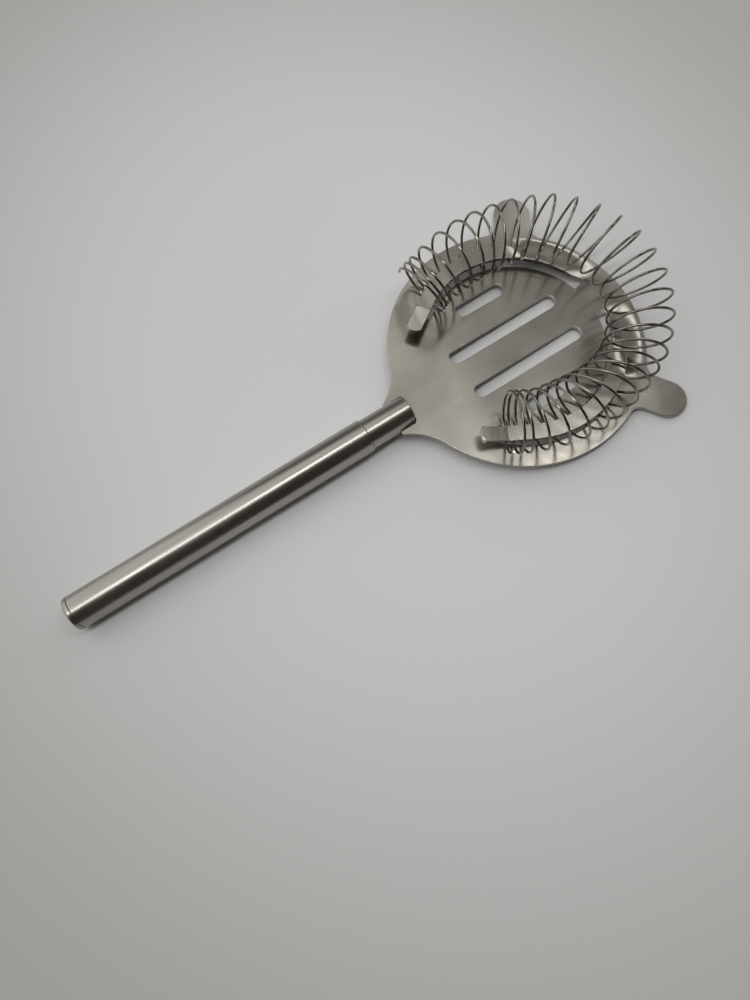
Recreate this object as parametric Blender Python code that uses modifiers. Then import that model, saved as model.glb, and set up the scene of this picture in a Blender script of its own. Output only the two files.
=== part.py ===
"""A hawthorne strainer: a pressed steel plate with two raised arms that hold a coil spring, and a tube
handle joined to the plate's tang by a slotted ferrule. Lengths are in millimetres until MM turns them
into metres. The plate's own frame has its origin at the disc's centre on the top face, +X away from the
handle. The whole object is then tilted and lifted so that it rests on z = 0 as it lies on a table."""

import math

import bmesh
import bpy
from mathutils import Matrix, Vector

MM = 0.001

# Plate
DISC_R = 42.5
SHEET = 1.2
EAR_AT = 55.3  # degrees either side of +X
EAR_CENTRE = 50.9
EAR_HALF = 6.25
EAR_FILLET = 4.0
SHOULDER = Vector((-49.1, 5.9))  # the pointed corner of the neck, beside the ferrule
NECK_FILLET = 20.0
TANG_HALF = 4.1
TANG_END = -57.6
SLOT_W = 4.6
SLOT_CORNER = 2.15
LONG_SLOT = (-21.7, 20.6, 7.05)  # from x, to x, distance of its middle from the centre line
SHORT_SLOT = (-9.9, 8.6, 20.1)

# Raised arms, cut free from the sheet on both sides and left joined at the front
CORE_R = 29.55  # the window's inner edge
ARM_IN = 30.05
ARM_OUT = 35.1
CUT_R = 35.35  # the window's outer edge
LAND_R = 41.4  # where the sloping land at an arm's root meets the flat rim
ARM_RISE = 4.0
ROOT_GAP = 3.6  # extra width of the window at its front end
ROOT_FROM, ROOT_FULL = 8.0, 38.0  # degrees over which the sheet rises
WINDOW_FROM = 12.0
WINDOW_TO = {1: 129.0, -1: 138.0}  # where the window ends, short of the arm's tip
SLIT_FROM = {1: 50.0, -1: 43.5}  # where the outer cut begins, left and right arm
BAND_DOWN = 8.5  # degrees further on, where the rim outside the outer cut is flat again
LEVEL_OVER = (-5.0, 13.0)  # degrees from the cut's start over which the slope becomes a level arm
STRAIGHT_FROM = {1: 124.0, -1: 118.5}  # degrees, left and right arm
STRAIGHT_LENGTH = {1: 11.7, -1: 17.0}
TIP_BEND = {1: 1.8, -1: 8.2}  # where the free end bends up, along its straight part
TIP_SLOPE = 0.16
TIP_CORNER = 1.4

# Spring
WIRE_R = 0.425
COIL_R = 10.25
COIL_TURNS = 31
COIL_FROM = 120.5  # azimuth of the first turn
COIL_PITCH = 9.05  # degrees of azimuth for one turn
CLOSED_PITCH = 3.4
CLOSED_TURNS = (2.6, 2.2)
COIL_Z = 10.6
FRONT_LIFT = 3.9
LIFT_OVER = {1: (48.5, 55.5), -1: (46.5, 53.0)}  # degrees over which the coil climbs onto the arms' roots
# How far a turn leans along the coil's line: its top, its outside, and all of it
LEAN = Vector((-0.9, -0.95, 0.0))
LEFT_LEAN, LEFT_OVER = Vector((2.7, -3.5, 1.9)), (82.0, 118.0)
RIGHT_LEAN, RIGHT_OVER = Vector((0.3, 2.45, -0.75)), (10.0, 80.0)
END_SHRINK = 0.85  # the end turns' smaller radius
COIL_POINTS = 14

# Handle
PITCH = 3.0  # degrees that the tube slopes down from the plate
YAW = 0.9  # degrees that it points off the disc's middle line
AXIS_Z = 0.4
FERRULE_FROM = -43.1
FERRULE_R = 5.0
TUBE_FROM = -58.9
TUBE_R = 5.5
TUBE_WALL = 1.0
HANDLE_END = -162.1
SPIGOT = 11.0
CAP_HEAD = 1.7
CAP_SPIGOT = 6.0
GAP = 0.15
SIDES = 32


def smooth(value, low, high):
    t = min(max((value - low) / (high - low), 0.0), 1.0)
    return t * t * (3 - 2 * t)


def collection(name):
    made = bpy.data.collections.new(name)
    bpy.context.scene.collection.children.link(made)
    return made


def steel(name, colour, roughness):
    material = bpy.data.materials.new(name)
    material.use_nodes = True
    shader = material.node_tree.nodes["Principled BSDF"]
    shader.inputs["Base Color"].default_value = (*colour, 1)
    shader.inputs["Metallic"].default_value = 1
    shader.inputs["Roughness"].default_value = roughness
    return material


def add(name, data, where):
    made = bpy.data.objects.new(name, data)
    where.objects.link(made)
    return made


def arc(centre, radius, start, end, count):
    """Points on an arc, angles in degrees, both ends included."""
    angles = [math.radians(start + (end - start) * i / count) for i in range(count + 1)]
    return [centre + radius * Vector((math.cos(a), math.sin(a))) for a in angles]


def slab(name, outline, low, high):
    """A cutter: a flat outline given depth from z = low to z = high."""
    outline = [p for p, before in zip(outline, [outline[-1], *outline]) if (p - before).length > 0.01]
    work = bmesh.new()
    face = work.faces.new([work.verts.new((x * MM, y * MM, low * MM)) for x, y in outline])
    top = bmesh.ops.extrude_face_region(work, geom=[face])["geom"]
    moved = [v for v in top if isinstance(v, bmesh.types.BMVert)]
    bmesh.ops.translate(work, verts=moved, vec=(0, 0, (high - low) * MM))
    bmesh.ops.recalc_face_normals(work, faces=work.faces)
    return finish_cutter(name, work)


def finish_cutter(name, work):
    mesh = bpy.data.meshes.new(name)
    work.to_mesh(mesh)
    work.free()
    cutter = add(name, mesh, cutters)
    cutter.hide_render = True
    cutter.display_type = "WIRE"
    return cutter


def rounded_bar(from_x, to_x, middle_y, width, corner):
    """The outline of a slot along X with rounded corners."""
    corners = [(to_x, 1, 1, 0), (from_x, -1, 1, 90), (from_x, -1, -1, 180), (to_x, 1, -1, 270)]
    outline = []
    for x, side_x, side_y, start in corners:
        centre = Vector((x - side_x * corner, middle_y + side_y * (width / 2 - corner)))
        outline += arc(centre, corner, start, start + 90, 6)
    return outline


def plate_outline():
    """Half the outline, from the tang round to +X, then its mirror image."""
    corner = SHOULDER
    reach = DISC_R + NECK_FILLET
    # The neck's concave arc touches the disc and passes through the shoulder's corner.
    span = corner.length
    along = (span**2 + reach**2 - NECK_FILLET**2) / (2 * span)
    side = math.sqrt(reach**2 - along**2)
    unit = corner.normalized()
    neck = along * unit + side * Vector((unit.y, -unit.x))
    to_corner = math.degrees(math.atan2(corner.y - neck.y, corner.x - neck.x))
    to_disc = math.degrees(math.atan2(-neck.y, -neck.x))
    disc_from = to_disc + 180
    half = [Vector((TANG_END, TANG_HALF)), Vector((corner.x, TANG_HALF))]
    half += arc(neck, NECK_FILLET, to_corner, to_disc, 8)

    across = EAR_HALF + EAR_FILLET
    turn = math.degrees(math.asin(across / (DISC_R + EAR_FILLET)))
    ear_axis = Vector((math.cos(math.radians(EAR_AT)), math.sin(math.radians(EAR_AT))))
    half += arc(Vector((0, 0)), DISC_R, disc_from, EAR_AT + turn, 24)[1:]
    for sign in (1, -1):
        middle = (DISC_R + EAR_FILLET) * Vector(
            (math.cos(math.radians(EAR_AT + sign * turn)), math.sin(math.radians(EAR_AT + sign * turn)))
        )
        fillet = arc(middle, EAR_FILLET, EAR_AT + sign * (turn + 180), EAR_AT + sign * 270, 5)
        if sign == 1:
            half += fillet[1:]
            half += arc(EAR_CENTRE * ear_axis, EAR_HALF, EAR_AT + 90, EAR_AT - 90, 14)
        else:
            half += fillet[::-1]
    half += arc(Vector((0, 0)), DISC_R, EAR_AT - turn, 0, 14)[1:]
    mirrored = [Vector((p.x, -p.y)) for p in half[-2::-1]]
    return half + mirrored


def stations(side):
    """Where the blank's columns lie: (azimuth, distance along the arm's straight part, zone)."""
    bend = STRAIGHT_FROM[side]
    length = STRAIGHT_LENGTH[side]
    slit = SLIT_FROM[side]
    found = [(a, 0.0) for a in (0, 4, ROOT_FROM)]
    for low, high, count in (
        (WINDOW_FROM, 26, 4),
        (26, slit, 5),
        (slit, slit + BAND_DOWN, 3),
        (slit + BAND_DOWN, bend, 11),
    ):
        found += [(low + (high - low) * i / count, 0.0) for i in range(count)]
    lift = TIP_BEND[side]
    for s in (0, lift - 0.8, lift + 0.8, (lift + length) / 2 + 0.6, length - TIP_CORNER, length, length + 0.9):
        found.append((bend, s))
    for i in (1, 2, 3, 4):
        found.append((bend + (180 - bend) * i / 4, (length + 0.9) * (1 - i / 4)))
    return found


def plate_azimuth(side, column):
    """The azimuth of a column past the arm's bend, where the plate below keeps to the circle."""
    bend = STRAIGHT_FROM[side]
    end = len(stations(side)) - 5
    first = end - 6
    if column <= end:
        return bend + (WINDOW_TO[side] - bend) * (column - first) / (end - first)
    return WINDOW_TO[side] + (180 - WINDOW_TO[side]) * (column - end) / 4


def rise(azimuth):
    """Height of the formed sheet's inner edge round the disc."""
    return ARM_RISE * smooth(azimuth, ROOT_FROM, ROOT_FULL) ** 0.8


def blank_point(side, column, ring):
    """Where a point of the grid goes: the sheet's top face, formed."""
    places = stations(side)
    azimuth, along = places[column]
    tip = len(places) - 6  # the column at the arm's free end
    on_arm = azimuth > 0 and column <= tip
    if along > 0 and not (on_arm and 2 <= ring <= 5):
        azimuth, along = plate_azimuth(side, column), 0.0
    inner = ARM_IN + ROOT_GAP * (1 - smooth(azimuth, 9, 36)) * (1 - 0.35 * smooth(azimuth, 12, 20))
    if azimuth > 60:
        inner = ARM_IN
    third = (ARM_OUT - inner) / 3
    radii = [0, CORE_R, inner, inner + third, inner + 2 * third, ARM_OUT, CUT_R, 38.4, LAND_R, 62.0]
    radius = radii[ring]
    if ring == 0:
        return Vector((0, 0, 0))
    height = 0.0
    if on_arm and 2 <= ring <= 7:
        fall = (radius - inner) / (LAND_R - inner)
        if ring <= 5:
            level = smooth(azimuth - SLIT_FROM[side], *LEVEL_OVER)
            height = rise(azimuth) * (1 - (1 - level) * fall)
            height += max(0.0, along - TIP_BEND[side]) * TIP_SLOPE
        else:
            down = smooth(azimuth - SLIT_FROM[side], -2, BAND_DOWN)
            height = rise(azimuth) * (1 - fall) * (1 - down)
    if column == tip and ring in (2, 5):
        along -= TIP_CORNER
    if column == tip - 1 and ring in (2, 5):
        along -= TIP_CORNER * 0.5
    angle = math.radians(azimuth)
    x = radius * math.cos(angle) - along * math.sin(angle)
    y = radius * math.sin(angle) + along * math.cos(angle)
    return Vector((x, side * y, height)) * MM


def formed_blank():
    """A grid laid round the disc, pressed to shape, with the windows' faces taken out."""
    per_side = len(stations(1)) - 1
    rings = 9
    bpy.ops.mesh.primitive_grid_add(x_subdivisions=2 * per_side, y_subdivisions=rings, size=2)
    blank = bpy.context.object
    work = bmesh.new()
    work.from_mesh(blank.data)
    place = {}
    for vert in work.verts:
        column = round((1 - vert.co.x) * per_side) - per_side  # from +180 degrees round to -180
        place[vert] = (column, round((vert.co.y + 1) / 2 * rings))
    tip = len(stations(1)) - 6
    ahead = [i for i, (azimuth, _) in enumerate(stations(1)) if azimuth < WINDOW_FROM - 0.01]
    slit = [i for i, (azimuth, _) in enumerate(stations(1)) if azimuth < SLIT_FROM[1] - 0.01]
    gone = []
    for face in work.faces:
        columns = [abs(place[v][0]) for v in face.verts]
        ring = min(place[v][1] for v in face.verts)
        first = min(columns)
        in_window = len(ahead) <= first <= tip
        if in_window and (ring == 1 or (ring == 5 and first >= len(slit))):
            gone.append(face)
        elif first == tip and 1 <= ring <= 5:
            gone.append(face)
    for vert in work.verts:
        column, ring = place[vert]
        vert.co = blank_point(1 if column > 0 else -1, abs(column), ring)
    bmesh.ops.delete(work, geom=gone, context="FACES")
    bmesh.ops.remove_doubles(work, verts=work.verts, dist=1e-6)
    bmesh.ops.dissolve_degenerate(work, edges=work.edges, dist=1e-7)
    work.to_mesh(blank.data)
    work.free()
    for holder in blank.users_collection:
        holder.objects.unlink(blank)
    strainer.objects.link(blank)
    return blank


def cut(target, name, cutter, operation="DIFFERENCE"):
    modifier = target.modifiers.new(name, "BOOLEAN")
    modifier.operation = operation
    modifier.solver = "EXACT"
    modifier.object = cutter


def make_plate():
    plate = formed_blank()
    plate.name = plate.data.name = "strainer_plate"
    thick = plate.modifiers.new("sheet", "SOLIDIFY")
    thick.thickness = SHEET * MM
    thick.offset = -1
    thick.use_even_offset = True
    cut(plate, "outline", slab("cut_outline", plate_outline(), -4, 12), "INTERSECT")
    for number, (low, high, middle) in enumerate((LONG_SLOT, SHORT_SLOT)):
        for side in (1, -1):
            outline = rounded_bar(low, high, side * middle, SLOT_W, SLOT_CORNER)
            cut(plate, "slot", slab(f"cut_slot_{number}_{side}", outline, -3, 3))
    return plate


def turned(name, profile, where=None):
    """A solid turned about the handle's axis from (distance from the ferrule's face, radius) points."""
    mesh = bpy.data.meshes.new(name)
    count = len(profile)
    closed = min(r for _, r in profile) > 0
    edges = [(i, i + 1) for i in range(count - 1)] + ([(count - 1, 0)] if closed else [])
    mesh.from_pydata([(r * MM, 0, d * MM) for d, r in profile], edges, [])
    made = add(name, mesh, where or strainer)
    turn = made.modifiers.new("turn", "SCREW")
    turn.axis = "Z"
    turn.steps = turn.render_steps = SIDES
    turn.use_merge_vertices = True
    turn.merge_threshold = 1e-5
    turn.use_smooth_shade = False
    made.matrix_basis = handle_frame
    return made


def make_ferrule():
    length = FERRULE_FROM - TUBE_FROM
    edge = 0.5
    spigot = TUBE_R - TUBE_WALL - GAP
    ferrule = turned(
        "ferrule",
        [
            (length + SPIGOT, 0),
            (length + SPIGOT, spigot - edge),
            (length + SPIGOT - edge, spigot),
            (length - GAP, spigot),
            (length - GAP, FERRULE_R),
            (edge * 0.6, FERRULE_R),
            (edge * 0.15, FERRULE_R - edge * 0.4),
            (-0.15, FERRULE_R - 1.4),
            (-0.3, 0),
        ],
    )
    wide = rounded_bar(SHOULDER.x - GAP, FERRULE_FROM + 4, 0, 14, 0.2)
    narrow = rounded_bar(TANG_END - GAP, SHOULDER.x + 1, 0, 2 * (TANG_HALF + GAP), 0.2)
    behind = [p for p in narrow if p.x < SHOULDER.x - GAP]
    outline = wide[:14] + [Vector((SHOULDER.x - GAP, TANG_HALF + GAP))] + behind
    outline += [Vector((SHOULDER.x - GAP, -TANG_HALF - GAP))] + wide[14:]
    cut(ferrule, "tang", slab("cut_tang", outline, -SHEET - GAP, GAP))
    return ferrule


def make_tube():
    start = FERRULE_FROM - TUBE_FROM
    end = (FERRULE_FROM - HANDLE_END) / math.cos(math.radians(PITCH)) - CAP_HEAD
    bore = TUBE_R - TUBE_WALL
    lip = 0.35
    return turned(
        "handle_tube",
        [(end, bore), (end, TUBE_R), (start + lip, TUBE_R), (start, TUBE_R - lip), (start, bore)],
    )


def make_cap():
    end = (FERRULE_FROM - HANDLE_END) / math.cos(math.radians(PITCH))
    start = end - CAP_HEAD + GAP
    edge = 0.8
    spigot = TUBE_R - TUBE_WALL - GAP
    round_edge = [
        (end - edge + edge * math.sin(math.radians(a)), TUBE_R - edge + edge * math.cos(math.radians(a)))
        for a in (75, 50, 25, 0)
    ]
    profile = [(end + 0.12, 0), (end + 0.05, TUBE_R - 2.2), *round_edge, (start, TUBE_R), (start, spigot)]
    return turned("end_cap", profile + [(start - CAP_SPIGOT, spigot), (start - CAP_SPIGOT, 0)])


def coil_centre(azimuth):
    """The middle of the coil's tunnel at this azimuth."""
    a = math.radians(azimuth)
    radius = 35.4 + 1.3 * math.cos(a) + 1.9 * math.sin(a)
    radius += 3.9 * math.cos(2 * a) + 0.1 * math.cos(3 * a) + 0.8 * math.sin(3 * a)
    lift = 0.4 + FRONT_LIFT * (1 - smooth(abs(azimuth), *LIFT_OVER[1 if azimuth > 0 else -1]))
    x = radius * math.cos(a) - 0.72 * lift
    y = radius * math.sin(a) - 0.36 * lift
    return Vector((x, y, COIL_Z - 0.4 + lift))


def make_spring():
    """A coil whose tunnel follows the disc's edge. Its end turns are closed up."""
    count = COIL_TURNS * COIL_POINTS
    line = bpy.data.curves.new("coil_spring", "CURVE")
    line.dimensions = "3D"
    line.bevel_depth = WIRE_R * MM
    line.bevel_resolution = 2
    line.use_fill_caps = True
    spline = line.splines.new("POLY")
    spline.points.add(count)
    azimuth = COIL_FROM
    for i in range(count + 1):
        turn = i / COIL_POINTS
        opened = smooth(turn, CLOSED_TURNS[0] - 1, CLOSED_TURNS[0] + 1)
        opened *= 1 - smooth(turn, COIL_TURNS - CLOSED_TURNS[1] - 1, COIL_TURNS - CLOSED_TURNS[1] + 1)
        psi = 2 * math.pi * turn
        a = math.radians(azimuth)
        outward = Vector((math.cos(a), math.sin(a), 0))
        along = Vector((-math.sin(a), math.cos(a), 0))
        slope = LEAN.lerp(LEFT_LEAN, smooth(azimuth, *LEFT_OVER))
        slope = slope.lerp(RIGHT_LEAN, smooth(-azimuth, *RIGHT_OVER))
        lean = slope[0] * math.sin(psi) + slope[1] * math.cos(psi) + slope[2]
        shrink = END_SHRINK * (smooth(azimuth, 90, 116) + smooth(-azimuth, 90, 116))
        point = coil_centre(azimuth) + along * lean - Vector((0, 0, shrink))
        point += (COIL_R - shrink) * (math.cos(psi) * outward + math.sin(psi) * Vector((0, 0, 1)))
        spline.points[i].co = (*(point * MM), 1)
        azimuth -= (CLOSED_PITCH + (COIL_PITCH - CLOSED_PITCH) * opened) / COIL_POINTS
    return add("coil_spring", line, strainer)


def rest(parts):
    """Tilts the object onto the tube's far end and the disc's front edge, and centres its footprint."""
    slope = math.radians(PITCH)
    far = Vector((HANDLE_END, 0, AXIS_Z + (HANDLE_END - FERRULE_FROM) * math.tan(slope)))
    low_end = far + TUBE_R * Vector((math.sin(slope), 0, -math.cos(slope)))
    front = Vector((DISC_R, 0, -SHEET))
    tilt = math.atan2(front.z - low_end.z, front.x - low_end.x)
    root = add("strainer_at_rest", None, strainer)
    root.matrix_world = Matrix.Rotation(tilt, 4, "Y")
    for part in [*parts, *cutters.objects]:
        part.parent = root
    bpy.context.view_layer.update()
    graph = bpy.context.evaluated_depsgraph_get()
    points = []
    for part in parts:
        solid = part.evaluated_get(graph)
        points += [solid.matrix_world @ v.co for v in solid.to_mesh().vertices]
        solid.to_mesh_clear()
    middle = [(min(p[i] for p in points) + max(p[i] for p in points)) / 2 for i in (0, 1)]
    floor = min(p.z for p in points)
    root.location = (-middle[0], -middle[1], -floor)
    bpy.context.view_layer.update()


for old in list(bpy.data.objects):
    bpy.data.objects.remove(old)
strainer = collection("hawthorne_strainer")
cutters = collection("cutters")
handle_frame = (
    Matrix.Translation(Vector((FERRULE_FROM, 0, AXIS_Z)) * MM)
    @ Matrix.Rotation(math.radians(-YAW), 4, "Z")
    @ Matrix.Rotation(math.radians(-90 - PITCH), 4, "Y")
)
sheet_steel = steel("sheet_steel", (0.56, 0.54, 0.50), 0.38)
spring_steel = steel("spring_steel", (0.62, 0.61, 0.59), 0.18)
tube_steel = steel("tube_steel", (0.60, 0.58, 0.55), 0.28)
made = {
    make_plate(): sheet_steel,
    make_spring(): spring_steel,
    make_ferrule(): tube_steel,
    make_tube(): tube_steel,
    make_cap(): tube_steel,
}
for part, material in made.items():
    part.data.materials.clear()
    part.data.materials.append(material)
rest(list(made))
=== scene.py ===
"""A hawthorne strainer lying on a pale sheet. Lengths are in millimetres in the plate's own frame, until
place() takes them to the row frame. Its origin is the disc's centre on its top face, with +X away from
the handle. The plate and the handle ride on the body "strainer", the coil on the body "spring"."""

import math

import bmesh
import bpy
from mathutils import Matrix, Vector


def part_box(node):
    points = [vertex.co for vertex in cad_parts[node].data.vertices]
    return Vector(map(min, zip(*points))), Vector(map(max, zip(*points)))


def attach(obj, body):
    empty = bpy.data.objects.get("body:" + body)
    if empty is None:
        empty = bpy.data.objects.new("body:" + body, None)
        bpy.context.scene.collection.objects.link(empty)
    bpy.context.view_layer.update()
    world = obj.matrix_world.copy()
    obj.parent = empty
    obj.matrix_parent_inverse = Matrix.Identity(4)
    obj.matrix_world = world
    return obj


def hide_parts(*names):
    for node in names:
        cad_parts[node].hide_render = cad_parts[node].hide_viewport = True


MM = 0.001

# Sizes as in the CAD. The ears are a hair narrower, and the coil is 0.18 mm smaller in radius on a line
# 0.1 mm nearer the middle, so that its rounder turns stay inside the CAD's box and clear of the arms.
DISC_R = 42.5
SHEET = 1.2
EAR_AT, EAR_CENTRE, EAR_HALF, EAR_FILLET = 55.3, 50.9, 6.235, 4.0
SHOULDER = Vector((-49.1, 5.9))  # the pointed corner of the neck, beside the ferrule
NECK_FILLET = 20.0
TANG_HALF, TANG_END = 4.1, -57.6
SLOT_W, SLOT_CORNER = 4.6, 2.15
LONG_SLOT, SHORT_SLOT = (-21.7, 20.6, 7.05), (-9.9, 8.6, 20.1)  # from x, to x, off the middle line

# Radii of the formed plate, and the place of each in the grid's rings
CORE_R, ARM_IN, ARM_OUT, CUT_R = 29.55, 30.05, 35.1, 35.35
LAND_MIDDLE, LAND_R, BLANK_R = 38.4, 41.4, 62.0
CORE_RING, ARM_FIRST, ARM_LAST, CUT_RING, LAND_RING, RINGS = 1, 2, 5, 6, 8, 9

# The arms. Angles are degrees of azimuth, and a pair of values is for the left (1) and right (-1) arm.
ARM_RISE, RISE_POWER = 4.0, 0.8
ROOT_FROM, ROOT_FULL = 8.0, 38.0
ROOT_GAP, GAP_OVER = 3.6, (9, 36)  # extra width of the window's front end, and where it runs out
GAP_STEP, GAP_STEP_OVER = 0.35, (12, 20)
ROOT_WAVE = 0.06  # how much the slope beside a root departs from straight
WINDOW_FROM, ROOT_COARSE_TO = 12.0, 26
WINDOW_TO = {1: 129.0, -1: 138.0}
SLIT_FROM = {1: 50.0, -1: 43.5}  # where the outer cut begins
BAND_DOWN, BAND_EARLY = 8.5, -2  # where the rim outside that cut is flat again, from its start
LEVEL_OVER = (-5.0, 13.0)  # where the slope becomes a level arm, from the cut's start
STRAIGHT_FROM = {1: 124.0, -1: 118.5}
STRAIGHT_LENGTH = {1: 11.7, -1: 17.0}
TIP_BEND = {1: 1.8, -1: 8.2}
TIP_SLOPE, TIP_CORNER, TIP_GAP = 0.16, 1.4, 0.9
BEND_HALF, TIP_MIDDLE_SHIFT = 0.8, 0.6  # columns beside the bend, and past the raised end's middle
STRAIGHT_STEPS, BACK_STEPS = 6, 4  # columns of the straight part, and from there round to the handle

# The coil. Its line round the disc is a circle with harmonics of the azimuth added.
WIRE_R, COIL_R, COIL_TURNS = 0.425, 10.07, 31
COIL_FROM, COIL_PITCH, CLOSED_PITCH, CLOSED_TURNS = 120.5, 9.05, 3.4, (2.6, 2.2)
COIL_Z, FRONT_LIFT, LEAST_LIFT = 10.6, 3.9, 0.4
LINE_R = 35.3
LINE_COSINES, LINE_SINES = (1.3, 3.9, 0.1), (1.9, 0.0, 0.8)
LIFT_SHIFT = Vector((-0.72, -0.36, 1.0))  # which way the line goes as the coil climbs
LEAN = Vector((-0.9, -0.95, 0.0))  # shares of sin, cos and 1 in how far a turn leans along the line
LEFT_LEAN, LEFT_OVER = Vector((2.7, -3.5, 1.9)), (82.0, 118.0)
RIGHT_LEAN, RIGHT_OVER = Vector((0.3, 2.45, -0.75)), (10.0, 80.0)
END_SHRINK, SHRINK_OVER = 0.85, (90, 116)
LIFT_OVER = {1: (48.5, 55.5), -1: (46.5, 53.0)}

# The handle
PITCH, YAW, AXIS_Z = 3.0, 0.9, 0.4
FERRULE_FROM, FERRULE_R = -43.1, 5.0
TUBE_FROM, TUBE_R, TUBE_WALL = -58.9, 5.5, 1.0
HANDLE_END, SPIGOT, CAP_HEAD, CAP_SPIGOT, GAP = -162.1, 11.0, 1.7, 6.0, 0.15
FERRULE_EDGE, TUBE_EDGE, SEAM_EDGE, CAP_EDGE = 0.45, 0.4, 0.12, 0.8
# The end faces: (how far a step stands out, its distance from the edge), how far the middle does
FERRULE_DISH, CAP_DOME = ((-0.1, 1.6), -0.15), ((0.05, 2.2), 0.12)

# How finely the shown pieces are made
FINE_COLUMNS = 3
FINE_RINGS = 2
COIL_POINTS = 40
SIDES = 160
EDGE = 0.22

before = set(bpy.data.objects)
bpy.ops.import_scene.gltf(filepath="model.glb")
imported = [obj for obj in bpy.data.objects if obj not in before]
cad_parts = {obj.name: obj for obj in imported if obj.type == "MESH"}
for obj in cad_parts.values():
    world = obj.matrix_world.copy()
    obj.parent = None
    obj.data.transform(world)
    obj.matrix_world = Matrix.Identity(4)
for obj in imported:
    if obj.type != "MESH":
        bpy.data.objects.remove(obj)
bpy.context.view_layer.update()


def smooth(value, low, high):
    t = min(max((value - low) / (high - low), 0.0), 1.0)
    return t * t * (3 - 2 * t)


# Where the plate's frame lies in the row frame: tilted, resting on the tube's end and the disc's front


def resting_place():
    slope = math.radians(PITCH)
    low_end_x = HANDLE_END + TUBE_R * math.sin(slope)
    low_end_z = AXIS_Z + (HANDLE_END - FERRULE_FROM) * math.tan(slope) - TUBE_R * math.cos(slope)
    tilt = math.atan2(-SHEET - low_end_z, DISC_R - low_end_x)
    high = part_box("strainer_plate")[1]
    shift_x = high.x - DISC_R * MM * math.cos(tilt)
    shift_z = (DISC_R * math.sin(tilt) + SHEET * math.cos(tilt)) * MM
    return Matrix.Translation((shift_x, 0, shift_z)) @ Matrix.Rotation(tilt, 4, "Y")


PLACE = resting_place()


# Materials


def nodes_of(name):
    material = bpy.data.materials.new(name)
    material.use_nodes = True
    tree = material.node_tree
    return material, tree, tree.nodes["Principled BSDF"]


def node(tree, kind, **values):
    made = tree.nodes.new(kind)
    for key, value in values.items():
        setattr(made, key, value)
    return made


def noise(tree, where, scale, detail=3.0, roughness=0.5, stretch=(1, 1, 1)):
    """Noise over the object's own coordinates, in features a metre across divided by scale."""
    mapping = node(tree, "ShaderNodeMapping")
    mapping.inputs["Scale"].default_value = stretch
    made = node(tree, "ShaderNodeTexNoise")
    made.inputs["Scale"].default_value = scale
    made.inputs["Detail"].default_value = detail
    made.inputs["Roughness"].default_value = roughness
    tree.links.new(where, mapping.inputs["Vector"])
    tree.links.new(mapping.outputs["Vector"], made.inputs["Vector"])
    return made.outputs["Fac"]


def spread(tree, value, from_low, from_high, to_low, to_high):
    made = node(tree, "ShaderNodeMapRange", interpolation_type="SMOOTHSTEP")
    for name, number in (
        ("From Min", from_low),
        ("From Max", from_high),
        ("To Min", to_low),
        ("To Max", to_high),
    ):
        made.inputs[name].default_value = number
    tree.links.new(value, made.inputs["Value"])
    return made.outputs["Result"]


def maths(tree, operation, a, b):
    made = node(tree, "ShaderNodeMath", operation=operation)
    for socket, value in zip(made.inputs, (a, b)):
        if isinstance(value, (int, float)):
            socket.default_value = value
        else:
            tree.links.new(value, socket)
    return made.outputs[0]


def two_tone(tree, factor, low, high):
    made = node(tree, "ShaderNodeMix", data_type="RGBA")
    made.inputs[6].default_value = (*low, 1)
    made.inputs[7].default_value = (*high, 1)
    tree.links.new(factor, made.inputs[0])
    return made.outputs[2]


def plus(tree, value, extra, share):
    return maths(tree, "ADD", value, maths(tree, "MULTIPLY", extra, share))


def metal(name):
    """A new metal: its material, node tree, shader and object coordinates."""
    material, tree, shader = nodes_of(name)
    shader.inputs["Metallic"].default_value = 1
    return material, tree, shader, node(tree, "ShaderNodeTexCoord").outputs["Object"]


def roughen(tree, shader, height, strength, distance):
    bump = node(tree, "ShaderNodeBump")
    bump.inputs["Strength"].default_value = strength
    bump.inputs["Distance"].default_value = distance
    tree.links.new(height, bump.inputs["Height"])
    tree.links.new(bump.outputs["Normal"], shader.inputs["Normal"])


def sheet_material():
    """Satin stainless sheet with a faint rolled grain and cloudy handling marks."""
    material, tree, shader, where = metal("satin_sheet_steel")
    clouds = noise(tree, where, 48, 2, 0.45)
    marks = spread(tree, noise(tree, where, 105, 2, 0.45), 0.4, 0.75, 0, 1)
    grain = noise(tree, where, 700, 3, 0.6, (0.1, 1.3, 1))
    tone = plus(tree, maths(tree, "MULTIPLY", clouds, 0.85), grain, 0.15)
    tone = spread(tree, plus(tree, tone, marks, -0.10), 0.22, 0.72, 0, 1)
    colour = two_tone(tree, tone, (0.36, 0.338, 0.30), (0.50, 0.477, 0.435))
    rough = plus(tree, spread(tree, clouds, 0.3, 0.7, 0.19, 0.23), marks, 0.05)
    tree.links.new(colour, shader.inputs["Base Color"])
    tree.links.new(rough, shader.inputs["Roughness"])
    roughen(tree, shader, grain, strength=0.07, distance=0.00004)
    return material


def tube_material():
    """Stainless tube brushed along its length, so that reflections smear across it."""
    material, tree, shader, where = metal("brushed_tube_steel")
    fine = noise(tree, where, 1500, 3, 0.6, (0.02, 1, 1))
    broad = noise(tree, where, 300, 3, 0.5, (0.03, 1, 1))
    clouds = noise(tree, where, 40, 3, 0.5)
    lines = plus(tree, maths(tree, "MULTIPLY", fine, 0.5), broad, 0.5)
    tone = spread(tree, lines, 0.3, 0.7, 0, 1)
    colour = two_tone(tree, tone, (0.33, 0.313, 0.287), (0.435, 0.413, 0.383))
    rough = plus(tree, spread(tree, clouds, 0.3, 0.7, 0.20, 0.25), fine, 0.08)
    tree.links.new(colour, shader.inputs["Base Color"])
    tree.links.new(rough, shader.inputs["Roughness"])
    roughen(tree, shader, lines, strength=0.22, distance=0.00003)
    return material


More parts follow.
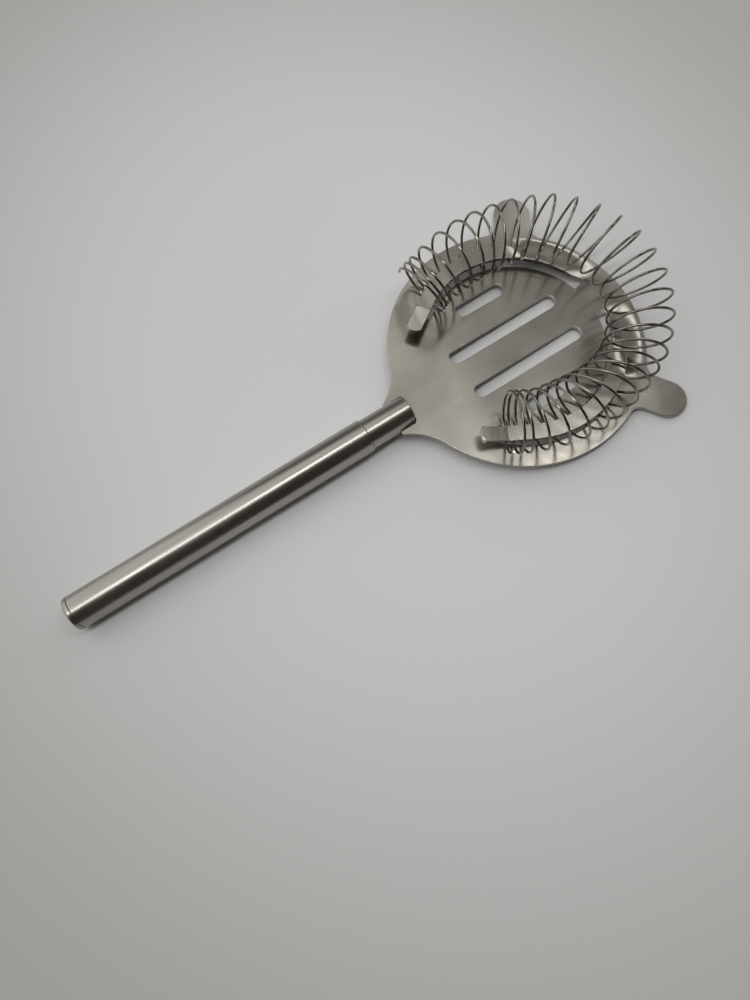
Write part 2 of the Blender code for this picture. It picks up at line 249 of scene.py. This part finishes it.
def wire_material():
    """Dark drawn wire, a little duller in patches."""
    material, tree, shader, where = metal("drawn_wire_steel")
    patches = noise(tree, where, 260, 3, 0.5)
    tone = spread(tree, patches, 0.3, 0.7, 0, 1)
    colour = two_tone(tree, tone, (0.17, 0.155, 0.135), (0.32, 0.297, 0.262))
    tree.links.new(colour, shader.inputs["Base Color"])
    tree.links.new(spread(tree, patches, 0.35, 0.65, 0.09, 0.15), shader.inputs["Roughness"])
    return material


# The plate, formed as in the CAD but on a finer grid, with eased edges


def arc(centre, radius, start, end, count):
    angles = [math.radians(start + (end - start) * i / count) for i in range(count + 1)]
    return [centre + radius * Vector((math.cos(a), math.sin(a))) for a in angles]


def slab(outline, low, high):
    """A cutter: a flat outline given depth from z = low to z = high."""
    pairs = zip(outline, [outline[-1], *outline])
    outline = [point for point, before in pairs if (point - before).length > 0.01]
    work = bmesh.new()
    face = work.faces.new([work.verts.new((x * MM, y * MM, low * MM)) for x, y in outline])
    top = bmesh.ops.extrude_face_region(work, geom=[face])["geom"]
    moved = [v for v in top if isinstance(v, bmesh.types.BMVert)]
    bmesh.ops.translate(work, verts=moved, vec=(0, 0, (high - low) * MM))
    bmesh.ops.recalc_face_normals(work, faces=work.faces)
    mesh = bpy.data.meshes.new("cutter")
    work.to_mesh(mesh)
    work.free()
    return add("cutter", mesh)


def add(name, data):
    made = bpy.data.objects.new(name, data)
    bpy.context.scene.collection.objects.link(made)
    return made


def rounded_bar(from_x, to_x, middle_y, width, corner):
    corners = [(to_x, 1, 1, 0), (from_x, -1, 1, 90), (from_x, -1, -1, 180), (to_x, 1, -1, 270)]
    outline = []
    for x, side_x, side_y, start in corners:
        centre = Vector((x - side_x * corner, middle_y + side_y * (width / 2 - corner)))
        outline += arc(centre, corner, start, start + 90, 12)
    return outline


def plate_outline():
    corner = SHOULDER
    reach = DISC_R + NECK_FILLET
    span = corner.length
    along = (span**2 + reach**2 - NECK_FILLET**2) / (2 * span)
    side = math.sqrt(reach**2 - along**2)
    unit = corner.normalized()
    neck = along * unit + side * Vector((unit.y, -unit.x))
    to_corner = math.degrees(math.atan2(corner.y - neck.y, corner.x - neck.x))
    to_disc = math.degrees(math.atan2(-neck.y, -neck.x))
    half = [Vector((TANG_END, TANG_HALF)), Vector((corner.x, TANG_HALF))]
    half += arc(neck, NECK_FILLET, to_corner, to_disc, 16)
    turn = math.degrees(math.asin((EAR_HALF + EAR_FILLET) / (DISC_R + EAR_FILLET)))
    ear_axis = Vector((math.cos(math.radians(EAR_AT)), math.sin(math.radians(EAR_AT))))
    half += arc(Vector((0, 0)), DISC_R, to_disc + 180, EAR_AT + turn, 72)[1:]
    for sign in (1, -1):
        a = math.radians(EAR_AT + sign * turn)
        middle = (DISC_R + EAR_FILLET) * Vector((math.cos(a), math.sin(a)))
        fillet = arc(middle, EAR_FILLET, EAR_AT + sign * (turn + 180), EAR_AT + sign * 270, 10)
        if sign == 1:
            half += fillet[1:]
            half += arc(EAR_CENTRE * ear_axis, EAR_HALF, EAR_AT + 90, EAR_AT - 90, 36)
        else:
            half += fillet[::-1]
    half += arc(Vector((0, 0)), DISC_R, EAR_AT - turn, 0, 42)[1:]
    return half + [Vector((p.x, -p.y)) for p in half[-2::-1]]


def stations(side):
    """(azimuth, distance along the straight part) of a side's columns, from the front to the handle."""
    bend, length, slit = STRAIGHT_FROM[side], STRAIGHT_LENGTH[side], SLIT_FROM[side]
    found = [(a, 0.0) for a in (0, 4, ROOT_FROM)]
    for low, high, count in (
        (WINDOW_FROM, ROOT_COARSE_TO, 4),
        (ROOT_COARSE_TO, slit, 5),
        (slit, slit + BAND_DOWN, 3),
        (slit + BAND_DOWN, bend, 11),
    ):
        found += [(low + (high - low) * i / count, 0.0) for i in range(count)]
    lift, end = TIP_BEND[side], length + TIP_GAP
    middle = (lift + length) / 2 + TIP_MIDDLE_SHIFT
    for along in (0, lift - BEND_HALF, lift + BEND_HALF, middle, length - TIP_CORNER, length, end):
        found.append((bend, along))
    for i in range(1, BACK_STEPS + 1):
        share = i / BACK_STEPS
        found.append((bend + (180 - bend) * share, end * (1 - share)))
    return found


COARSE = len(stations(1)) - 1
TIP = COARSE - BACK_STEPS - 1
WINDOW_COLUMN = sum(a < WINDOW_FROM - 0.01 for a, _ in stations(1))
SLIT_COLUMN = sum(a < SLIT_FROM[1] - 0.01 for a, _ in stations(1))


def plate_azimuth(side, column):
    """The azimuth of a column past the arm's bend, where the plate below keeps to the circle."""
    end = TIP + 1
    if column <= end:
        bend, share = STRAIGHT_FROM[side], (column - end + STRAIGHT_STEPS) / STRAIGHT_STEPS
        return bend + (WINDOW_TO[side] - bend) * share
    return WINDOW_TO[side] + (180 - WINDOW_TO[side]) * (column - end) / BACK_STEPS


def rise(azimuth):
    return ARM_RISE * smooth(azimuth, ROOT_FROM, ROOT_FULL) ** RISE_POWER


def between(values, index):
    low = min(int(index), len(values) - 2)
    return values[low] + (values[low + 1] - values[low]) * (index - low)


def blank_height(side, azimuth, along, ring, fall):
    """How far a point on or beside an arm is raised. fall runs from 0 at its inner edge to 1 at the rim."""
    drop = fall - ROOT_WAVE * math.sin(2 * math.pi * fall)
    if ring > ARM_LAST:
        down = smooth(azimuth - SLIT_FROM[side], BAND_EARLY, BAND_DOWN)
        return rise(azimuth) * (1 - drop) * (1 - down)
    level = smooth(azimuth - SLIT_FROM[side], *LEVEL_OVER)
    height = rise(azimuth) * (1 - (1 - level) * drop)
    height += max(0.0, along - TIP_BEND[side]) * TIP_SLOPE
    return height * min(1.0, ring - CORE_RING)


def blank_point(side, column, ring):
    """Where a point of the grid goes. column and ring count the CAD grid's steps, or parts of them."""
    if ring == 0:
        return Vector((0, 0, 0))
    on_arm = column <= TIP and ARM_FIRST <= ring <= ARM_LAST
    azimuths, alongs = zip(*stations(side))
    azimuth, along = between(azimuths, column), between(alongs, column)
    if along > 0 and not on_arm:
        azimuth, along = plate_azimuth(side, column), 0.0
    stepped = 1 - GAP_STEP * smooth(azimuth, *GAP_STEP_OVER)
    inner = ARM_IN + ROOT_GAP * (1 - smooth(azimuth, *GAP_OVER)) * stepped
    third = (ARM_OUT - inner) / 3
    arm = [inner, inner + third, inner + 2 * third, ARM_OUT]
    radius = between([0, CORE_R, *arm, CUT_R, LAND_MIDDLE, LAND_R, BLANK_R], ring)
    height = 0.0
    if azimuth > 0 and column <= TIP and CORE_RING < ring < LAND_RING:
        fall = max(0.0, (radius - inner) / (LAND_R - inner))
        height = blank_height(side, azimuth, along, ring, fall)
    if on_arm:
        from_middle = abs(2 * ring - ARM_FIRST - ARM_LAST) / (ARM_LAST - ARM_FIRST)
        along -= TIP_CORNER * max(0.0, 1 - (TIP - column)) * from_middle**4
    angle = math.radians(azimuth)
    x = radius * math.cos(angle) - along * math.sin(angle)
    y = radius * math.sin(angle) + along * math.cos(angle)
    return Vector((x, side * y, height)) * MM


def is_open(column, ring):
    """Whether the face that starts at this column and ring is part of a window or an outer cut."""
    window = CORE_RING <= ring < ARM_FIRST
    outer_cut = ARM_LAST <= ring < CUT_RING and column >= SLIT_COLUMN
    past_tip = TIP <= column < TIP + 1 and CORE_RING <= ring < CUT_RING
    return past_tip or (WINDOW_COLUMN <= column < TIP and (window or outer_cut))


def formed_blank():
    per_side, rings = COARSE * FINE_COLUMNS, RINGS * FINE_RINGS
    bpy.ops.mesh.primitive_grid_add(x_subdivisions=2 * per_side, y_subdivisions=rings, size=2)
    blank = bpy.context.object
    work = bmesh.new()
    work.from_mesh(blank.data)
    spots = {}
    for vert in work.verts:
        column = round((1 - vert.co.x) * per_side) - per_side
        ring = round((vert.co.y + 1) / 2 * rings)
        spots[vert] = (column / FINE_COLUMNS, ring / FINE_RINGS)
    gone = []
    for face in work.faces:
        corners = [spots[v] for v in face.verts]
        if is_open(min(abs(column) for column, _ in corners), min(ring for _, ring in corners)):
            gone.append(face)
    for vert, (column, ring) in spots.items():
        vert.co = blank_point(1 if column > 0 else -1, abs(column), ring)
    bmesh.ops.delete(work, geom=gone, context="FACES")
    bmesh.ops.remove_doubles(work, verts=work.verts, dist=1e-6)
    bmesh.ops.dissolve_degenerate(work, edges=work.edges, dist=1e-7)
    work.to_mesh(blank.data)
    work.free()
    return blank


def cut(target, cutter, operation="DIFFERENCE"):
    modifier = target.modifiers.new("cut", "BOOLEAN")
    modifier.operation = operation
    modifier.solver = "EXACT"
    modifier.object = cutter
    return cutter


def settle(made, angle=40):
    """Applies the modifiers and shades the result smooth but for edges sharper than the angle."""
    graph = bpy.context.evaluated_depsgraph_get()
    mesh = bpy.data.meshes.new_from_object(made.evaluated_get(graph))
    made.modifiers.clear()
    made.data = mesh
    mesh.shade_smooth()
    mesh.set_sharp_from_angle(angle=math.radians(angle))


def make_plate():
    plate = formed_blank()
    thick = plate.modifiers.new("sheet", "SOLIDIFY")
    thick.thickness = SHEET * MM
    thick.offset = -1
    thick.use_even_offset = True
    tools = [cut(plate, slab(plate_outline(), -4, 12), "INTERSECT")]
    for low, high, middle in (LONG_SLOT, SHORT_SLOT):
        for side in (1, -1):
            outline = rounded_bar(low, high, side * middle, SLOT_W, SLOT_CORNER)
            tools.append(cut(plate, slab(outline, -3, 3)))
    flat = plate.modifiers.new("flat", "DECIMATE")
    flat.decimate_type = "DISSOLVE"
    flat.angle_limit = math.radians(0.4)
    ease = plate.modifiers.new("ease", "BEVEL")
    ease.limit_method = "ANGLE"
    ease.angle_limit = math.radians(50)
    ease.width = EDGE * MM
    ease.segments = 3
    ease.use_clamp_overlap = False
    ease.miter_outer = "MITER_ARC"
    bpy.context.view_layer.update()
    settle(plate, 35)
    for tool in tools:
        bpy.data.objects.remove(tool)
    weigh = plate.modifiers.new("weigh", "WEIGHTED_NORMAL")
    weigh.weight = 100
    weigh.keep_sharp = True
    return plate


# The handle


HANDLE_FRAME = (
    Matrix.Translation(Vector((FERRULE_FROM, 0, AXIS_Z)) * MM)
    @ Matrix.Rotation(math.radians(-YAW), 4, "Z")
    @ Matrix.Rotation(math.radians(-90 - PITCH), 4, "Y")
)


def turned(profile):
    """A solid turned about the handle's axis, its mesh already in the plate's frame."""
    mesh = bpy.data.meshes.new("turned")
    count = len(profile)
    closed = min(r for _, r in profile) > 0
    edges = [(i, i + 1) for i in range(count - 1)] + ([(count - 1, 0)] if closed else [])
    mesh.from_pydata([(r * MM, 0, d * MM) for d, r in profile], edges, [])
    made = add("turned", mesh)
    turn = made.modifiers.new("turn", "SCREW")
    turn.axis = "Z"
    turn.steps = turn.render_steps = SIDES
    turn.use_merge_vertices = True
    turn.merge_threshold = 1e-5
    settle(made)
    made.data.transform(HANDLE_FRAME)
    return made


def eased(distance, radius, towards, edge, count=5):
    """Points of a rounded edge at (distance, radius) of a turned profile."""
    points = []
    for i in range(count + 1):
        a = math.radians(90 * i / count)
        along = distance + towards * edge * (1 - math.sin(a))
        points.append((along, radius - edge * (1 - math.cos(a))))
    return points


def make_ferrule():
    length = FERRULE_FROM - TUBE_FROM
    spigot = TUBE_R - TUBE_WALL - GAP
    (step, from_rim), middle = FERRULE_DISH
    profile = [(length + SPIGOT, 0), (length + SPIGOT, spigot)]
    profile += [(length - GAP, spigot), (length - GAP, FERRULE_R)]
    profile += eased(0, FERRULE_R, 1, FERRULE_EDGE) + [(step, FERRULE_R - from_rim), (middle, 0)]
    ferrule = turned(profile)
    shoulder, tang_end, tang_side = SHOULDER.x - GAP, TANG_END - GAP, TANG_HALF + GAP
    mouth = rounded_bar(shoulder, FERRULE_FROM + 4, 0, 14, 0.2)
    half = len(mouth) // 2
    narrow = [(shoulder, 1), (tang_end, 1), (tang_end, -1), (shoulder, -1)]
    outline = mouth[:half] + [Vector((x, side * tang_side)) for x, side in narrow] + mouth[half:]
    tool = cut(ferrule, slab(outline, -SHEET - GAP, GAP))
    bpy.context.view_layer.update()
    settle(ferrule)
    bpy.data.objects.remove(tool)
    return ferrule


HANDLE_LENGTH = (FERRULE_FROM - HANDLE_END) / math.cos(math.radians(PITCH))


def make_tube():
    start = FERRULE_FROM - TUBE_FROM
    end = HANDLE_LENGTH - CAP_HEAD
    bore = TUBE_R - TUBE_WALL
    far = eased(end, TUBE_R, -1, SEAM_EDGE)
    near = eased(start, TUBE_R, 1, TUBE_EDGE)
    return turned([(end, bore), *far[::-1], *near, (start, bore)])


def make_cap():
    start = HANDLE_LENGTH - CAP_HEAD + GAP
    spigot = TUBE_R - TUBE_WALL - GAP
    (step, from_rim), middle = CAP_DOME
    rim = eased(HANDLE_LENGTH, TUBE_R, -1, CAP_EDGE, count=8)
    back = eased(start, TUBE_R, 1, SEAM_EDGE)
    profile = [(HANDLE_LENGTH + middle, 0), (HANDLE_LENGTH + step, TUBE_R - from_rim)]
    profile += [*rim[::-1], *back, (start, spigot)]
    return turned(profile + [(start - CAP_SPIGOT, spigot), (start - CAP_SPIGOT, 0)])


# The coil


def coil_centre(azimuth):
    a = math.radians(azimuth)
    radius = LINE_R
    for i, (cosine, sine) in enumerate(zip(LINE_COSINES, LINE_SINES), start=1):
        radius += cosine * math.cos(i * a) + sine * math.sin(i * a)
    climb = 1 - smooth(abs(azimuth), *LIFT_OVER[1 if azimuth > 0 else -1])
    lift = LEAST_LIFT + FRONT_LIFT * climb
    base = Vector((radius * math.cos(a), radius * math.sin(a), COIL_Z - LEAST_LIFT))
    return base + lift * LIFT_SHIFT


def coil_point(turn, azimuth):
    psi = 2 * math.pi * turn
    a = math.radians(azimuth)
    outward = Vector((math.cos(a), math.sin(a), 0))
    along = Vector((-math.sin(a), math.cos(a), 0))
    slope = LEAN.lerp(LEFT_LEAN, smooth(azimuth, *LEFT_OVER))
    slope = slope.lerp(RIGHT_LEAN, smooth(-azimuth, *RIGHT_OVER))
    lean = slope.dot(Vector((math.sin(psi), math.cos(psi), 1)))
    shrink = END_SHRINK * (smooth(azimuth, *SHRINK_OVER) + smooth(-azimuth, *SHRINK_OVER))
    point = coil_centre(azimuth) + along * lean - Vector((0, 0, shrink))
    return point + (COIL_R - shrink) * (math.cos(psi) * outward + math.sin(psi) * Vector((0, 0, 1)))


def make_spring():
    count = COIL_TURNS * COIL_POINTS
    line = bpy.data.curves.new("coil", "CURVE")
    line.dimensions = "3D"
    line.bevel_depth = WIRE_R * MM
    line.bevel_resolution = 5
    line.use_fill_caps = True
    spline = line.splines.new("POLY")
    spline.points.add(count)
    azimuth = COIL_FROM
    first, last = CLOSED_TURNS[0], COIL_TURNS - CLOSED_TURNS[1]
    for i in range(count + 1):
        turn = i / COIL_POINTS
        spline.points[i].co = (*(coil_point(turn, azimuth) * MM), 1)
        opened = smooth(turn, first - 1, first + 1) * (1 - smooth(turn, last - 1, last + 1))
        azimuth -= (CLOSED_PITCH + (COIL_PITCH - CLOSED_PITCH) * opened) / COIL_POINTS
    guide = add("coil_line", line)
    bpy.context.view_layer.update()
    graph = bpy.context.evaluated_depsgraph_get()
    mesh = bpy.data.meshes.new_from_object(guide.evaluated_get(graph))
    bpy.data.objects.remove(guide)
    mesh.shade_smooth()
    mesh.set_sharp_from_angle(angle=math.radians(50))
    return add("coil", mesh)


def place(made, name, material, body, slot, *stands_for):
    made.name = made.data.name = name
    made.data.transform(PLACE)
    made.data.materials.clear()
    made.data.materials.append(material)
    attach(made, body)
    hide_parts(*stands_for)


# Floor, light and camera, in metres


SHEET_BACK, SHEET_SIDE = Vector((0.82, 0.57, 0)), Vector((-0.57, 0.82, 0))
SHEET_FRONT, SHEET_HALF = -1.2, 1.4
CURL_FROM, CURL_R, CURL_TO = 0.28, 0.5, 78  # where it curls up, the radius, and how many degrees
SHEET_TOP = (0.15, 0.7)  # how much further back and up it goes on
# A pool of light painted into the floor's colour: its centre, its stretch, the distances over which it
# fades, the lit tones inside it, and the darker painted falloff tone outside it
PAINTED_LIGHT_POOL_AT, PAINTED_LIGHT_POOL_SCALE, PAINTED_LIGHT_POOL_OVER = (-0.015, -0.021, 0), (1, 0.75, 0), (0.05, 0.21)
PAINTED_LIGHT_POOL_TONES = (0.75, 0.76, 0.775), (0.775, 0.785, 0.795)
PAINTED_FALLOFF_TONE = (0.50, 0.495, 0.485)
ROOM_TOWARDS, ROOM_OVER = (-0.35, 0.94, 0), (-0.05, 0.35)
ROOM_DARK, ROOM_BRIGHT = (0.05, 0.045, 0.04), (0.92, 0.905, 0.88)


def floor_material():
    """Pale matt sheet with a painted pool of light: lightest round the object, darkening to a painted
    falloff tone away from it.
    """
    material, tree, shader = nodes_of("pale_sheet_painted_light_pool")
    where = node(tree, "ShaderNodeTexCoord").outputs["Object"]
    mapping = node(tree, "ShaderNodeMapping")
    mapping.inputs["Location"].default_value = PAINTED_LIGHT_POOL_AT
    mapping.inputs["Scale"].default_value = PAINTED_LIGHT_POOL_SCALE
    tree.links.new(where, mapping.inputs["Vector"])
    far = node(tree, "ShaderNodeVectorMath", operation="LENGTH")
    tree.links.new(mapping.outputs["Vector"], far.inputs[0])
    # Painted light: the colour fades from the lit pool tones to the darker painted falloff tone with
    # distance from the object
    mix = node(tree, "ShaderNodeMix", data_type="RGBA")
    mix.inputs[7].default_value = (*PAINTED_FALLOFF_TONE, 1)
    tree.links.new(spread(tree, far.outputs["Value"], *PAINTED_LIGHT_POOL_OVER, 0, 1), mix.inputs[0])
    tree.links.new(two_tone(tree, noise(tree, where, 3, 2), *PAINTED_LIGHT_POOL_TONES), mix.inputs[6])
    tree.links.new(mix.outputs[2], shader.inputs["Base Color"])
    shader.inputs["Roughness"].default_value = 0.65
    shader.inputs["Specular IOR Level"].default_value = 0.3
    return material


def make_floor():
    """A sheet that lies flat and curls up far behind the object."""
    profile = [(SHEET_FRONT, 0.0), (CURL_FROM, 0.0)]
    for degrees in range(6, CURL_TO + 1, 6):
        a = math.radians(degrees)
        profile.append((CURL_FROM + CURL_R * math.sin(a), CURL_R * (1 - math.cos(a))))
    profile.append((profile[-1][0] + SHEET_TOP[0], profile[-1][1] + SHEET_TOP[1]))
    work = bmesh.new()
    rows = []
    for reach in (-SHEET_HALF, SHEET_HALF):
        across = SHEET_SIDE * reach
        rows.append([work.verts.new(SHEET_BACK * d + across + Vector((0, 0, h))) for d, h in profile])
    for i in range(len(profile) - 1):
        work.faces.new((rows[1][i], rows[0][i], rows[0][i + 1], rows[1][i + 1]))
    mesh = bpy.data.meshes.new("sheet")
    work.to_mesh(mesh)
    work.free()
    mesh.shade_smooth()
    mesh.materials.append(floor_material())
    add("sheet", mesh)


def area(name, location, target, size, power, colour=(1, 1, 1)):
    lamp = bpy.data.lights.new(name, "AREA")
    lamp.shape = "RECTANGLE"
    lamp.size, lamp.size_y = size
    lamp.energy = power
    lamp.color = colour
    made = add(name, lamp)
    made.location = location
    towards = Vector(target) - Vector(location)
    made.rotation_euler = towards.to_track_quat("-Z", "Y").to_euler()


def make_lights():
    """A long strip overhead, and a low one beyond the disc that the arms' tips mirror."""
    area(
        "overhead",
        location=(0, 0.005, 0.62),
        target=(0, 0, 0),
        size=(0.85, 0.12),
        power=1.4,
        colour=(1, 0.99, 0.97),
    )
    area("ahead", location=(0.501, 0.187, 0.361), target=(0.06, 0, 0), size=(0.72, 0.11), power=0.5)


def make_world():
    """Light grey towards +Y and dark towards -Y, as in a small tent that is open on one side."""
    world = bpy.data.worlds.new("room")
    bpy.context.scene.world = world
    world.use_nodes = True
    tree = world.node_tree
    where = node(tree, "ShaderNodeTexCoord").outputs["Generated"]
    dot = node(tree, "ShaderNodeVectorMath", operation="DOT_PRODUCT")
    dot.inputs[1].default_value = ROOM_TOWARDS
    tree.links.new(where, dot.inputs[0])
    shade = spread(tree, dot.outputs["Value"], *ROOM_OVER, 0, 1)
    colour = two_tone(tree, shade, ROOM_DARK, ROOM_BRIGHT)
    tree.links.new(colour, tree.nodes["Background"].inputs["Color"])


def make_camera():
    lens = bpy.data.cameras.new("camera")
    lens.sensor_width = 36
    lens.lens = 26.13
    lens.clip_start = 0.01
    camera = add("camera", lens)
    camera.location = (-0.04, -0.07212, 0.21901)
    camera.rotation_euler = [math.radians(a) for a in (15.752, 1.493, -33.471)]
    bpy.context.scene.camera = camera


bpy.context.scene.view_settings.view_transform = "Standard"
sheet_steel, tube_steel, wire_steel = sheet_material(), tube_material(), wire_material()
place(make_plate(), "formed_plate", sheet_steel, "strainer", "sheet_steel", "strainer_plate")
place(make_ferrule(), "slotted_ferrule", tube_steel, "strainer", "tube_steel", "ferrule")
place(make_tube(), "brushed_tube", tube_steel, "strainer", "tube_steel", "handle_tube")
place(make_cap(), "rounded_cap", tube_steel, "strainer", "tube_steel", "end_cap")
place(make_spring(), "wire_coil", wire_steel, "spring", "spring_steel", "coil_spring")
make_floor()
make_world()
make_lights()
make_camera()
